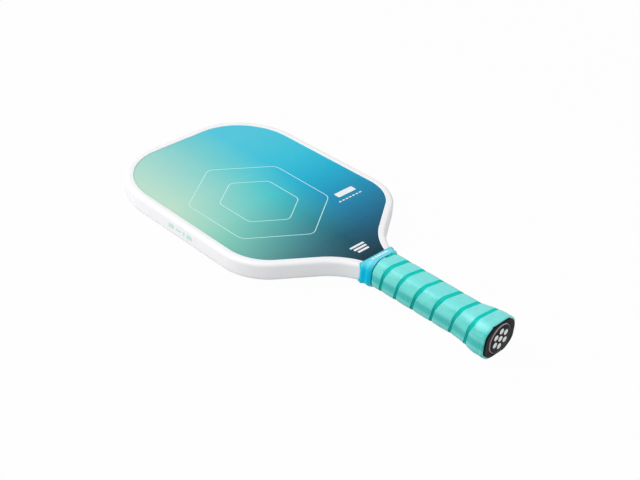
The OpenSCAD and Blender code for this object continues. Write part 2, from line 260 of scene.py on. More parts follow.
def thin_loft(rings):
    """A loft through rings that run out and back, with rows of quads at its ends."""
    count, n = rings.shape[:2]
    quads = [(j, j + 1, n - 2 - j, n - 1 - j) for j in range(n // 2 - 1)]
    last = (count - 1) * n
    ends = [quad[::-1] for quad in quads] + [tuple(last + i for i in quad) for quad in quads]
    return rings.reshape(-1, 3), loft_faces(count, n) + ends


def merged(parts):
    """Several (points, faces) as one."""
    points, faces = [], []
    for p, f in parts:
        faces += [tuple(i + len(points) for i in face) for face in f]
        points += np.asarray(p).reshape(-1, 3).tolist()
    return points, faces


# ---- Shader nodes ------------------------------------------------------------------

WHITE = (1, 1, 1, 1)


def srgb(colour):
    """A screen colour, with red, green and blue from 0 to 255, as a shader takes it."""
    screen = np.array(colour) / 255
    linear = np.where(screen <= 0.04045, screen / 12.92, ((screen + 0.055) / 1.055) ** 2.4)
    return (*linear.tolist(), 1.0)


def set_input(material, socket, value):
    """Gives an input a value, or a link from another node's output socket."""
    if isinstance(value, bpy.types.NodeSocket):
        material.node_tree.links.new(value, socket)
    else:
        socket.default_value = value


def node(material, kind, inputs=None, **settings):
    """A new shader node. An input is a value or another node's output socket."""
    made = material.node_tree.nodes.new(kind)
    for name, value in settings.items():
        setattr(made, name, value)
    for name, value in (inputs or {}).items():
        set_input(material, made.inputs[name], value)
    return made


def maths(material, operation, *values):
    """The result of a maths node."""
    inputs = dict(enumerate(values))
    return node(material, "ShaderNodeMath", inputs, operation=operation).outputs[0]


def new_material(name, colour, roughness, **sockets):
    """A Principled material of one screen colour. Spaces in socket names are given as
    underscores."""
    material = bpy.data.materials.new(name)
    material.use_nodes = True
    shader = material.node_tree.nodes["Principled BSDF"]
    shader.inputs["Base Color"].default_value = srgb(colour)
    shader.inputs["Roughness"].default_value = roughness
    for socket, value in sockets.items():
        shader.inputs[socket.replace("_", " ")].default_value = value
    return material


def link(material, output, socket):
    """Links an output to a socket of the material's shader."""
    shader = material.node_tree.nodes["Principled BSDF"]
    material.node_tree.links.new(output, shader.inputs[socket])


def place(material):
    """The place on the object, in metres, as one socket."""
    return node(material, "ShaderNodeTexCoord").outputs["Object"]


def place_xyz(material):
    """The place on the object, in metres, as the sockets X, Y and Z."""
    return node(material, "ShaderNodeSeparateXYZ", {"Vector": place(material)}).outputs


def noise(material, feature_mm, detail=3.0, stretch=(1, 1, 1)):
    """Noise whose blobs are about feature_mm across, stretched along each axis."""
    scale = [1 / (feature_mm * MM * s) for s in stretch]
    mapped = node(material, "ShaderNodeMapping", {"Vector": place(material), "Scale": scale})
    return node(material, "ShaderNodeTexNoise", {
        "Vector": mapped.outputs["Vector"], "Scale": 1.0, "Detail": detail}).outputs["Fac"]


def ranged(material, value, low, high, from_low=0.3, from_high=0.7):
    """A value brought from one range to another."""
    return node(material, "ShaderNodeMapRange", {
        "Value": value, "From Min": from_low, "From Max": from_high,
        "To Min": low, "To Max": high}).outputs["Result"]


def mixed(material, share, a, b, blend="MIX"):
    """Two colours mixed, where b's share may be a socket."""
    mix = node(material, "ShaderNodeMix", data_type="RGBA", blend_type=blend)
    # Its sockets for colours come after those for numbers and vectors.
    for number, value in ((0, share), (6, a), (7, b)):
        set_input(material, mix.inputs[number], value)
    return mix.outputs[2]


def times(material, a, b):
    """Two colours multiplied."""
    return mixed(material, 1.0, a, b, "MULTIPLY")


def colour_ramp(material, value, stops):
    """Screen colours at (place, colour) along a value."""
    made = node(material, "ShaderNodeValToRGB", {"Fac": value})
    elements = made.color_ramp.elements
    while len(elements) < len(stops):
        elements.new(0.5)
    for element, (position, colour) in zip(elements, stops):
        element.position = position
        element.color = srgb(colour)
    return made.outputs["Color"]


def off_middle(material, top_mm):
    """Distance from the paddle's middle plane, from 0 there to 1 at top_mm."""
    height = maths(material, "ABSOLUTE", place_xyz(material)["Z"])
    return ranged(material, height, 0, 1, 0, top_mm * MM)


def blotches(material, colour, other, feature_mm, detail=2.0):
    """A colour that wanders between two close screen colours."""
    share = ranged(material, noise(material, feature_mm, detail), 0, 1)
    return mixed(material, share, srgb(colour), srgb(other))


def faintly_patchy(material, colour, tint, feature_mm):
    """Makes a colour socket the base colour, with patches of a faint tint."""
    patches = blotches(material, tint, (255, 255, 255), feature_mm)
    link(material, times(material, colour, patches), "Base Color")


def varied_roughness(material, low, high, feature_mm):
    """Roughness that wanders between two values."""
    link(material, ranged(material, noise(material, feature_mm, 4.0), low, high), "Roughness")


def add_bump(material, *heights):
    """Bumps from (height socket, depth in mm), one on the other."""
    normal = None
    for height, depth in heights:
        inputs = {"Height": height, "Strength": 1.0, "Distance": depth * MM}
        if normal:
            inputs["Normal"] = normal
        normal = node(material, "ShaderNodeBump", inputs).outputs["Normal"]
    link(material, normal, "Normal")


# ---- Materials ---------------------------------------------------------------------

# The face print's colours at these heights, along its left side, middle and right side,
# and the X of its two sides
PRINT_Y = (145, 182, 212, 242, 272, 312, 372)
PRINT_LEFT = ((34, 76, 90), (78, 134, 138), (106, 174, 166), (128, 202, 184),
              (162, 216, 197), (188, 224, 202), (186, 223, 204))
PRINT_MIDDLE = ((0, 44, 60), (18, 88, 108), (38, 130, 146), (58, 170, 178),
                (72, 199, 202), (102, 206, 208), (118, 206, 208))
PRINT_RIGHT = ((0, 46, 66), (10, 92, 124), (20, 124, 163), (20, 152, 191),
               (24, 176, 210), (52, 194, 220), (80, 200, 221))
PRINT_LEFT_X, PRINT_RIGHT_X = -85, 38

# Distance off the middle plane at which a ramp of colours with painted light and shade ends
GRIP_RAMP, COLLAR_RAMP = 16, 14


def face_material():
    """Printed fibre face: green at the left, cyan at the right, navy at the throat."""
    m = new_material("face_print", (90, 195, 200), 0.55, Specular_IOR_Level=0.16)
    at = place_xyz(m)
    low, high = PRINT_Y[0], PRINT_Y[-1]
    along = ranged(m, at["Y"], 0, 1, low * MM, high * MM)
    stops = [(y - low) / (high - low) for y in PRINT_Y]
    left, middle, right = (
        colour_ramp(m, along, list(zip(stops, colours)))
        for colours in (PRINT_LEFT, PRINT_MIDDLE, PRINT_RIGHT))
    to_middle = ranged(m, at["X"], 0, 1, PRINT_LEFT_X * MM, 0)
    to_right = ranged(m, at["X"], 0, 1, 0, PRINT_RIGHT_X * MM)
    print_colour = mixed(m, to_right, mixed(m, to_middle, left, middle), right)
    speckle = ranged(m, noise(m, 0.5, 2.0), 0.97, 1.03)
    grey = node(m, "ShaderNodeCombineXYZ", {"X": speckle, "Y": speckle, "Z": speckle})
    link(m, times(m, print_colour, grey.outputs["Vector"]), "Base Color")
    varied_roughness(m, 0.5, 0.62, 6.0)
    brushed = noise(m, 3.0, 2.0, (0.3, 2.5, 1))
    add_bump(m, (noise(m, 0.35, 2.0), 0.02), (brushed, 0.01))
    return m


def guard_material():
    """White moulded strip with a satin skin."""
    m = new_material("guard_white", (247, 247, 249), 0.5, Specular_IOR_Level=0.25)
    link(m, blotches(m, (246, 246, 248), (249, 249, 251), 30.0), "Base Color")
    varied_roughness(m, 0.45, 0.56, 4.0)
    add_bump(m, (noise(m, 0.4), 0.008), (noise(m, 18.0, 1.0), 0.05))
    return m


def grip_material():
    """Tacky cushion wrap. Painted sheen makes it paler on the two broad flats, a painted
    highlight runs where the narrow sides round over, and painted shade deepens the narrow
    sides and the slanted flats.
    """
    m = new_material("grip_wrap", (92, 208, 202), 0.4, Coat_Weight=0.16, Coat_Roughness=0.2)
    # Painted light: this colour ramp off the middle plane stands for sheen, a highlight and
    # shade.
    skin = colour_ramp(m, off_middle(m, GRIP_RAMP), [
        (0.0, (42, 188, 182)), (0.15, (54, 194, 188)), (0.32, (110, 218, 212)),
        (0.5, (84, 210, 203)), (0.72, (52, 198, 191)), (0.86, (104, 222, 218)),
        (0.94, (120, 231, 229))])
    faintly_patchy(m, skin, (244, 248, 246), 5.0)
    varied_roughness(m, 0.3, 0.46, 1.5)
    dimples = noise(m, 2.6, stretch=(1.6, 0.6, 1.6))
    pulled = noise(m, 1.6, stretch=(4, 0.7, 4))
    add_bump(m, (noise(m, 0.3), 0.012), (dimples, 0.2), (pulled, 0.16))
    return m


def seam_material():
    """The wrap's thin bevelled edges, a saturated teal with little gloss, deeper towards the
    middle of the narrow sides as painted shade.
    """
    m = new_material("grip_seam", (0, 200, 184), 0.6, Specular_IOR_Level=0.12)
    # Painted shade: the teal deepens towards the middle of the narrow sides.
    skin = colour_ramp(m, off_middle(m, GRIP_RAMP), [
        (0.0, (0, 158, 150)), (0.4, (0, 176, 168)), (0.75, (0, 190, 178)),
        (0.9, (0, 212, 198))])
    faintly_patchy(m, skin, (238, 244, 242), 3.0)
    varied_roughness(m, 0.55, 0.7, 1.5)
    add_bump(m, (noise(m, 0.3), 0.012), (noise(m, 1.4, 2.0), 0.04))
    return m


def collar_material():
    """Soft silicone rubber, paler on its broad flats as painted sheen, with a deeper band of
    painted shade at its neck end.
    """
    m = new_material("collar_rubber", (50, 200, 228), 0.42, Specular_IOR_Level=0.15)
    # Painted sheen: the rubber gets paler towards its broad flats.
    skin = colour_ramp(m, off_middle(m, COLLAR_RAMP), [
        (0.0, (0, 198, 234)), (0.45, (0, 206, 240)), (0.65, (76, 205, 228)),
        (0.9, (116, 224, 243))])
    # Painted shade, not stretching: a deeper greenish band over the last few millimetres at the
    # neck end.
    stretch_y = [(COLLAR_STOP - d) * MM for d in (4, 1.5)]
    stretched = ranged(m, place_xyz(m)["Y"], 0, 0.75, *stretch_y)
    faintly_patchy(m, mixed(m, stretched, skin, srgb((40, 190, 208))), (246, 250, 252), 6.0)
    varied_roughness(m, 0.34, 0.46, 2.0)
    add_bump(m, (noise(m, 0.35), 0.01), (noise(m, 4.0, 2.0), 0.04))
    return m


def plastic(name, colour, other, roughness, grain_mm, depth, **sockets):
    """Moulded plastic with a fine grain and a slightly uneven colour and gloss."""
    m = new_material(name, colour, roughness, **sockets)
    link(m, blotches(m, colour, other, 8.0), "Base Color")
    varied_roughness(m, roughness - 0.06, roughness + 0.08, 4.0)
    add_bump(m, (noise(m, grain_mm), depth))
    return m


def cap_material():
    """Black moulded plastic whose flat end is painted a mottled dull grey as its sheen."""
    m = plastic("cap_plastic", (4, 4, 5), (9, 8, 10), 0.5, 0.35, 0.02, Specular_IOR_Level=0.08)
    # Painted sheen: the flat end is a mottled dull grey, the rest near black.
    rubbed_y = [(CAP_START + d) * MM for d in (0.02, 0.2)]
    rubbed = ranged(m, place_xyz(m)["Y"], 1, 0, *rubbed_y)
    patches = blotches(m, (17, 16, 19), (30, 29, 32), 3.0, 3.0)
    link(m, mixed(m, rubbed, srgb((5, 5, 6)), patches), "Base Color")
    return m


MATERIALS = {
    "core": plastic("core_polymer", (226, 228, 224), (214, 217, 214), 0.5, 1.0, 0.05),
    "bond_film": plastic("bond_film", (196, 176, 120), (186, 164, 104), 0.4, 0.8, 0.03),
    "face": face_material(),
    "guard": guard_material(),
    "adhesive_tape": plastic(
        "adhesive_tape", (205, 205, 200), (192, 192, 187), 0.7, 0.6, 0.05),
    "handle_shell": plastic("handle_shell", (70, 72, 76), (60, 62, 66), 0.65, 0.9, 0.06),
    "cap": cap_material(),
    "badge": plastic(
        "badge_gloss", (10, 8, 12), (16, 13, 18), 0.42, 2.0, 0.01, Specular_IOR_Level=0.06),
    # Painted highlight: the dark badge's bevel is coloured a pale pinkish grey.
    "badge_bevel_painted_highlight": plastic("badge_bevel_painted_highlight", (176, 166, 172), (166, 156, 162), 0.3, 2.0, 0.01),
    "staple": plastic(
        "staple_steel", (190, 192, 196), (170, 172, 176), 0.34, 0.4, 0.01, Metallic=1.0),
    "grip": grip_material(),
    "grip_seam": seam_material(),
    "finishing_tape": plastic("finishing_tape", (30, 30, 32), (38, 38, 40), 0.45, 0.8, 0.04),
    "collar": collar_material(),
    "ink": plastic(
        "pale_ink", (196, 240, 236), (205, 244, 240), 0.5, 0.4, 0.01, Specular_IOR_Level=0.2),
    "white_ink": plastic(
        "white_ink", (246, 249, 250), (240, 244, 245), 0.5, 0.4, 0.01, Specular_IOR_Level=0.2),
    "mint_ink": plastic("mint_ink", (196, 232, 220), (205, 236, 226), 0.5, 0.4, 0.01),
}


def dress_frame():
    """Gives each CAD node that stays visible the material of its slot."""
    slots = {
        "honeycomb_core": "core", "front_bond_film": "bond_film", "rear_bond_film": "bond_film",
        "front_face_sheet": "face", "rear_face_sheet": "face",
        "edge_guard_tape": "adhesive_tape", "finishing_tape": "finishing_tape",
        "front_handle_shell": "handle_shell", "rear_handle_shell": "handle_shell",
        "cap_staples": "staple",
    }
    for name, slot in slots.items():
        mesh = frame["nodes"][name].data
        if not mesh.materials:
            mesh.materials.append(None)
        for i in range(len(mesh.materials)):
            mesh.materials[i] = MATERIALS[slot]


# ---- Edge guard --------------------------------------------------------------------

# Distance between rings along the guard
PATH_STEP = 2.5
# Gap from the face to the lips, and how much wider it is at their inner edges
LIP_GAP, LIP_OPENS = 0.03, 0.02
# Rounding of the lips' inner edges, and how much thinner the lips are there
LIP_SOFT, LIP_THIN = 0.32, 0.12
# Heights of the points on the flat of the wall
WALL_POINTS = (3.4, 1.2)

# The bars on the guard's left wall: their two ends in Y, and half their height
GUARD_BARS = ((272, 279.5, 2.2), (282, 284.5, 2.2), (287, 294.5, 1.1), (297, 304.5, 2.2))
GUARD_BAR_R = 0.9


def tangent_normal(a, b):
    """Direction in which the common tangent of two outline circles faces outwards."""
    dx, dy = b[0] - a[0], b[1] - a[1]
    return math.atan2(dy, dx) + math.acos((a[2] - b[2]) / math.hypot(dx, dy))


def on_circle(circle, direction):
    """The point of an outline circle that lies in a direction from its centre."""
    x, y, r = circle
    return np.array([x + r * math.cos(direction), y + r * math.sin(direction)])


def guard_path():
    """Points (x, y) on the guard's outermost edge down the right side, with their outward
    directions, from the tip's middle to the guard's end."""
    turns = [math.pi / 2]
    turns += [tangent_normal(a, b) for a, b in zip(OUTLINE, OUTLINE[1:])]
    turns += [-math.asin((GUARD_END - NECK_Y) / NECK_R)]
    points, normals = [np.array([0.0, OUTLINE[0][1] + OUTLINE[0][2]])], [math.pi / 2]
    for circle, a, b in zip(OUTLINE, turns, turns[1:]):
        steps = max(2, round(abs((b - a) * circle[2]) / PATH_STEP))
        for t in np.linspace(a, b, steps + 1):
            gap = on_circle(circle, t) - points[-1]
            fill = max(1, round(np.linalg.norm(gap) / PATH_STEP))
            for _ in range(fill):
                points.append(points[-1] + gap / fill)
                normals.append(t)
    return np.array(points), np.array(normals)


def guard_section():
    """The guard's fine section as [distance in, height]: a U with soft corners and lips
    that thin towards their rounded inner edges."""
    mouth, soft_z = FACE_TOP + LIP_GAP, GUARD_TOP - LIP_THIN - LIP_SOFT
    lip_edge = [(LIP_W, mouth + LIP_OPENS), (LIP_W, soft_z)]
    lip_edge += arc((LIP_W - LIP_SOFT, soft_z), LIP_SOFT, math.pi / 2, 0, 5)[1:]
    crest = [(x, GUARD_TOP - LIP_THIN * ((x - GUARD_R) / (LIP_W - GUARD_R)) ** 2)
             for x in np.linspace(LIP_W - 1, GUARD_R + 0.6, 4)]
    corner = arc((GUARD_R, GUARD_TOP - GUARD_R), GUARD_R, 0, -math.pi / 2, 12)
    wall = [(0.0, z) for z in WALL_POINTS]
    upper = lip_edge + crest + corner + wall
    lower = [(x, -z) for x, z in reversed(upper)]
    inside = [(GUARD_WALL, -mouth), (GUARD_WALL, mouth)]
    return np.array(upper + lower + inside)


def edge_guard():
    """The white strip around the head, its section swept down the right side and mirrored."""
    points, normals = guard_path()
    outwards = np.stack([np.cos(normals), np.sin(normals)], -1)
    inset, height = guard_section().T
    plan = points[:, None] - inset[None, :, None] * outwards[:, None]
    rise = np.broadcast_to(height[None, :, None], plan.shape[:2] + (1,))
    right = np.concatenate([plan, rise], -1)
    left = (right * [-1, 1, 1])[1:]
    rings = np.concatenate([right[::-1], left])
    obj = piece("guard_strip", *capped_loft(rings), MATERIALS["guard"], "guard")
    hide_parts("edge_guard")


def guard_marks():
    """A row of plain mint bars on the guard's left wall, where its side runs straight."""
    direction = tangent_normal(OUTLINE[0], OUTLINE[1])
    upper, lower = (on_circle(circle, direction) for circle in OUTLINE[:2])
    bars = []
    for y0, y1, half_z in GUARD_BARS:
        outline = bar_outline(y0, y1, -half_z, half_z, GUARD_BAR_R)
        x = np.interp(outline[:, 0], [lower[1], upper[1]], [lower[0], upper[0]])
        rings = [np.column_stack([-x - lift, outline]) for lift in (-SINK, INK_T)]
        bars.append(capped_loft(np.array(rings)))
    piece("guard_bars", *merged(bars), MATERIALS["mint_ink"], "guard")


# ---- Grip --------------------------------------------------------------------------

# Steps around each corner of the outline, and points along each flat
GRIP_STEPS, GRIP_FLATS = 6, 5
# How far the seam strays from its even winding
WANDER = 0.12
# Gap between two turns, and the thickness of the thin flange at a turn's edge
SEAM_GAP, FLANGE_T = 0.06, 1.3
# The flange's share of the bevel, and its points as shares of its own width
FLANGE_SHARE, FLANGE_POINTS = 0.7, (0, 0.08, 0.25, 0.5, 0.75)
# How far the wrap stops short of the CAD grip's upper end, and the rounding and thickness
# of the cut edge at its two ends
END_GAP, END_ROUND, END_T = 0.5, 0.9, 1.0
# Turns between which the first seam opens, and a closed seam's share of the full depth
SEAM_OPENS, SEAM_OPEN, CLOSED_DEPTH = 0.35, 0.65, 0.3
# A seam's share of width at the middle of the narrow sides, the share of the half
# thickness from which it is full, and how much it varies along the seam
SIDE_SEAM, SIDE_END, SEAM_UNEVEN = 0.6, 0.7, 0.16
# How far up the shoulder the seam's colour reaches from a turn's high and low edge. Left
# off the high edge's shoulder, it leaves a painted highlight there in the paler grip
# colour; up the whole low shoulder, it paints a dark line of shade.
HIGH_TEAL, LOW_TEAL = 0.1, 0.9
# Swelling of the cushion between its edges, and the depth of its small puckers
CROWN, PUCKER = 0.3, 0.06


def seam_height(turn):
    """Height of the wrap's seam after this many turns, with a slight wander of the hand."""
    t = turn / GRIP_TURNS
    share = t - WRAP_TIGHTEN * np.sin(2 * np.pi * t) / (2 * np.pi)
    wander = WANDER * np.sin(2.3 * np.pi * turn) * np.sin(0.9 * turn + 1)
    return between(GRIP_START, GRIP_STOP, share) + wander


def wound_strip(outline):
    """The strip as it passes the outline's points: which point, and as columns its turn and
    the heights of its low and high edge."""
    per_turn = len(outline)
    side = np.linalg.norm(np.roll(outline, -1, 0) - outline, axis=1)
    share = np.concatenate([[0], np.cumsum(side)[:-1]]) / side.sum()
    k = np.arange(per_turn * (GRIP_TURNS + 1))
    turn = k // per_turn - 1 + share[k % per_turn]
    low = np.maximum(GRIP_START, seam_height(turn) + SEAM_GAP / 2)
    high = np.minimum(GRIP_STOP - END_GAP, seam_height(turn + 1) - SEAM_GAP / 2)
    kept = high - low > STRIP_TIP
    return (k % per_turn)[kept], turn[kept, None], low[kept, None], high[kept, None]


def across_strip(width, bevel):
    """Distances of the top's points from the strip's high edge: flange, shoulder, middle,
    shoulder and flange."""
    flange = np.array([FLANGE_POINTS]) * FLANGE_SHARE
    shoulder = between(FLANGE_SHARE, 1, np.linspace(0, 1, 7)[None])
    edge = bevel * np.concatenate([flange, shoulder], 1)
    middle = bevel + (width - 2 * bevel) * np.linspace(0, 1, 8)[None, 1:-1]
    return np.concatenate([edge, middle, width - edge[:, ::-1]], 1)


def seam_width(outline, point, turn):
    """A seam's share of its full width. It is pulled tighter on the narrow sides, and varies
    a little along the seam."""
    off_side = np.abs(outline[point, 1]) / outline[:, 1].max()
    pulled = between(SIDE_SEAM, 1, np.clip(off_side / SIDE_END, 0, 1))[:, None]
    return pulled * (1 + SEAM_UNEVEN * np.sin(2 * np.pi * 1.7 * turn))


def strip_edge(inward, bevel, seam_turn, seam_share, cut, teal_up_to):
    """How far the top drops towards one edge, and where it has the seam's colour.

    In a seam the edge is a thin flat flange, then a round shoulder up to the cushion's top.
    The first seam opens out behind the butt. At the wrap's two ends the edge is cut off
    square and just rounded."""
    opened = np.clip((seam_turn - SEAM_OPENS) / (SEAM_OPEN - SEAM_OPENS), 0, 1)
    flange = FLANGE_SHARE * opened * seam_share
    up_shoulder = np.clip((inward / bevel - flange) / (1 - FLANGE_SHARE), 0, 1)
    climb = np.where(cut, np.clip(inward / END_ROUND, 0, 1), up_shoulder)
    seam_depth = (GRIP_T - FLANGE_T) * between(CLOSED_DEPTH, 1, opened)
    depth = np.where(cut, GRIP_T - END_T, seam_depth)
    drop = depth * (1 - np.sqrt(1 - (1 - climb) ** 2))
    # The seam's colour up the low shoulder is painted shade; kept off the high shoulder, it
    # leaves a painted highlight.
    return drop, (opened > 0.5) & (up_shoulder < teal_up_to) & ~cut


def swelling(reach, turn, width):
    """The low crown between a turn's edges, with small puckers on it."""
    inwards = np.minimum(reach, width - reach) / width * 2
    crown = CROWN * (1 - (1 - inwards) ** 2) - CROWN / 2
    around = 2 * np.pi * turn
    pucker = np.sin(5.1 * around + reach) * np.sin(0.7 * reach + 0.5 * around)
    pucker += 0.7 * np.sin(8.3 * around - 1.9 * reach) * inwards ** 2
    return crown + PUCKER * (pucker - 1)


def cushion_grip():
    """One strip wound on from the butt to the collar, its top swelling between its edges."""
    outline = handle_section(HANDLE_L, GRIP_T, GRIP_STEPS, GRIP_FLATS)
    point, turn, low, high = wound_strip(outline)
    width = high - low
    bevel = np.minimum(STRIP_BEVEL, width / 3)
    reach = across_strip(width, bevel)
    share = seam_width(outline, point, turn)
    at_collar, at_butt = high >= GRIP_STOP - END_GAP, low <= GRIP_START
    drop, seam = np.maximum(
        strip_edge(reach, bevel, turn + 1, share, at_collar, HIGH_TEAL),
        strip_edge(width - reach, bevel, turn, share, at_butt, LOW_TEAL))
    top = GRIP_T - drop + swelling(reach, turn, width) * (1 - drop / (GRIP_T - END_T))

    under = between(low, high, np.linspace(0, 1, 4)[None])
    y = np.concatenate([high - reach, under], 1)
    lift = np.concatenate([top, np.zeros_like(under)], 1)
    sections = handle_section(y, FIT + lift, GRIP_STEPS, GRIP_FLATS)
    rings = np.take_along_axis(sections, point[:, None, None, None], 2)[:, :, 0]
    points, faces = capped_loft(stood_up(rings, y))
    obj = piece("grip_strip", points, faces, MATERIALS["grip"], "grip")
    obj.data.materials.append(MATERIALS["grip_seam"])
    seam = np.concatenate([seam, np.ones_like(under)], 1).ravel()
    slots = [int(seam[list(face)].mean() > 0.5) for face in faces]
    obj.data.polygons.foreach_set("material_index", slots)
    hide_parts("cushion_grip")


# ---- Collar ------------------------------------------------------------------------

# Steps around each corner of the outline, and points along each flat
COLLAR_STEPS, COLLAR_FLATS = 8, 6
# Corner of a close sleeve around the guarded neck: its cut and its radius
NECK_CUT, NECK_CORNER_R = GUARD_R * (2 - math.sqrt(2)), GUARD_R * math.sqrt(0.5)
# Thickness at the collar's two round ends, and each end's share of its length
COLLAR_EDGE_T, COLLAR_END = 0.25, 0.05
# Middle and half length of each bead, as shares of the collar's length
GRIP_BEAD_AT, NECK_BEAD_AT = (0.26, 0.26), (0.78, 0.22)
# How much thinner the neck end is, and the share of the length over which it thins
NECK_THIN, NECK_THINS = 0.3, 0.2
# The printed dashes as shares of the length, and in degrees: their width and places
DASH_FROM, DASH_TO, DASH_W = 0.4, 0.66, 10
DASH_ANGLES = range(50, 130, 14)


def guard_half_w(y):
    """The guard's half width on the neck."""
    return NECK_X - np.sqrt(NECK_R ** 2 - (y - NECK_Y) ** 2)


def collar_ring(s, grow):
    """The collar's outline at a share s of its length: the handle's octagon below, a flat
    sleeve around the guarded neck above, whose edge dips at the neck's two sides."""
    def outline(dip):
        hx = between(HANDLE_W / 2 + COLLAR_LIFT, guard_half_w(COLLAR_STOP - dip) + FIT, s)
        hz = between(HANDLE_T / 2 + COLLAR_LIFT, GUARD_TOP + FIT, s)
        cut_x = between(hx * FACET_SHARE, NECK_CUT, s)
        cut_z = between(hz * FACET_SHARE, NECK_CUT, s)
        corners = octagon(hx + grow, hz + grow, cut_x, cut_z)
        corner_r = between(FACET_R, NECK_CORNER_R, s) + grow
        return rounded(corners, corner_r, COLLAR_STEPS, COLLAR_FLATS)

    on_face = outline(0)
    dip = COLLAR_DIP * (1 - (on_face[:, 1] / on_face[0, 1]) ** 4)
    # Each point is taken from the outline that has its own dip.
    each = np.arange(len(dip))
    return stood_up(outline(dip)[each, each], between(COLLAR_START, COLLAR_STOP - dip, s))


def collar_thickness(s):
    """A broad round bead at the grip end, a narrow valley and a rolled lip at the neck end."""
    body = COLLAR_T + GRIP_BEAD * bump(s, *GRIP_BEAD_AT) + NECK_BEAD * bump(s, *NECK_BEAD_AT)
    body -= NECK_THIN * ease(1 - s, 0, NECK_THINS)
    from_end = min(s, 1 - s) / COLLAR_END
    round_end = math.sqrt(1 - max(0.0, 1 - from_end) ** 2)
    return between(COLLAR_EDGE_T, float(body), round_end)


def grip_collar():
    """The rubber sleeve: outside from the grip onto the guarded neck, and back inside."""
    near, far = np.linspace(0, COLLAR_END, 5), np.linspace(1 - COLLAR_END, 1, 5)
    shares = np.concatenate([near, np.linspace(0.07, 0.93, 34), far])
    outer = [collar_ring(s, collar_thickness(s)) for s in shares]
    inner = [collar_ring(s, 0) for s in (1, 0.75, 0.5, 0.25, 0)]
    solid = looped_loft(np.array(outer + inner))
    obj = piece("collar_sleeve", *solid, MATERIALS["collar"], "collar")
    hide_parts("grip_collar")


def directions(ring):
    """Directions of a ring's points from the paddle's long axis, from +X towards +Z."""
    return np.arctan2(ring[:, 2], ring[:, 0]) % (2 * np.pi)


def collar_patch(s0, s1, angle0, angle1):
    """A thin mark that follows the collar, between two shares of its length and two
    directions."""
    angles = np.radians(np.linspace(angle0, angle1, 13))
    along = np.linspace(s0, s1, 7)
    rings = []
    for s, lift in [(s, INK_T) for s in along] + [(s, -INK_T) for s in along[::-1]]:
        ring = collar_ring(s, collar_thickness(s) + lift)
        ring = ring[np.argsort(directions(ring))]
        around = directions(ring)
        rings.append(np.stack([np.interp(angles, around, axis) for axis in ring.T], -1))
    return thin_loft(np.array(rings).transpose(1, 0, 2))


def collar_marks():
    """A row of short white dashes around the collar's valley."""
    dashes = [collar_patch(DASH_FROM, DASH_TO, a, a + DASH_W) for a in DASH_ANGLES]
    piece("collar_dashes", *merged(dashes), MATERIALS["white_ink"], "collar")


# ---- Butt cap and badge ------------------------------------------------------------

# Steps around each corner of the outline, and points along each flat
CAP_STEPS, CAP_FLATS = 6, 6
# How much rounder the corners of the rim and of the bore are than the handle's
RIM_SOFTER = 4.0
# The rim's soft top edge, as distances inwards and down
RIM_TOP_EDGE = ((0, 0.3), (0.1, 0.08))
# Radius of the small flats that close the end wall, and softness of the recess's edges
CAP_HUB_R, RECESS_SOFT = 0.5, 0.15

# How far the dots stand out of the badge's face
DOT_PROUD = 0.04
DOT_R, DOT_RING_R = 2.7, 7.6
# How far the visible badge stays inside the CAD badge's radius
BEVEL_INSET = 0.3
# Radius of the small flats in the middle of the badge and of its dots
BADGE_HUB_R, DOT_HUB_R = 0.4, 0.2


def circle_like(ring, r, y):
    """A circle with one point in line with each point of a ring."""
    angle = np.arctan2(ring[:, 2], ring[:, 0])
    return np.stack([r * np.cos(angle), np.full(len(ring), y), r * np.sin(angle)], -1)


def butt_cap():
    """A rimmed cap with a round recess in its end wall and a skirt up inside the grip."""
    def section(y, grow, softer=0):
        return handle_section(y, grow, CAP_STEPS, CAP_FLATS, softer)

    def rim(grow, y):
        return stood_up(section(0, grow, RIM_SOFTER), y)

    def bore(y):
        return stood_up(section(HANDLE_L, FIT, RIM_SOFTER), y)

    edge = RIM_OUT - RIM_ROUND
    rim_y, wall_y = CAP_START + RIM_T, CAP_START + CAP_WALL
    recess_r, recess_y = BADGE_R + BADGE_GROOVE, CAP_START + BADGE_RECESS
    front = rim(edge, CAP_START)
    brim = circle_like(front, recess_r, CAP_START)
    rings = [
        circle_like(front, CAP_HUB_R, recess_y),
        circle_like(front, recess_r - RECESS_SOFT, recess_y),
        circle_like(front, recess_r, recess_y - RECESS_SOFT),
        circle_like(front, recess_r, CAP_START + RECESS_SOFT),
        circle_like(front, recess_r + RECESS_SOFT, CAP_START),
        *[between(brim, front, t) for t in (0.35, 0.65)],
        front,
        *[rim(edge + RIM_ROUND * math.sin(a), CAP_START + RIM_ROUND * (1 - math.cos(a)))
          for a in np.linspace(0, math.pi / 2, 7)[1:]],
        *[rim(RIM_OUT - inwards, rim_y - down) for inwards, down in RIM_TOP_EDGE],
        rim(0, rim_y),
        *[stood_up(section(y, 0), y) for y in np.linspace(FLARE_FROM, SKIRT_L, 8)],
        bore(SKIRT_L),
        bore(wall_y),
        circle_like(front, CAP_HUB_R, wall_y),
    ]
    obj = piece("cap_shell", *capped_loft(np.array(rings)), MATERIALS["cap"], "cap")
    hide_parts("butt_cap")


def turned_rings(profile, segments=96, centre=(0, 0)):
    """Rings around a line along Y, one for each (radius, y)."""
    angle = np.linspace(0, 2 * np.pi, segments, endpoint=False)[::-1]
    across, up = np.cos(angle), np.sin(angle)
    return np.array([
        np.stack([centre[0] + r * across, np.full(segments, y), centre[1] + r * up], -1)
        for r, y in profile])


def badge_dot(centre):
    """A flat round dot from the badge's face out to the butt end."""
    root = DOT_PROUD + SINK
    profile = [(DOT_HUB_R, 0), (DOT_R - 0.05, 0), (DOT_R, 0.03), (DOT_R, root), (DOT_HUB_R, root)]
    return capped_loft(turned_rings(profile, 48, centre))


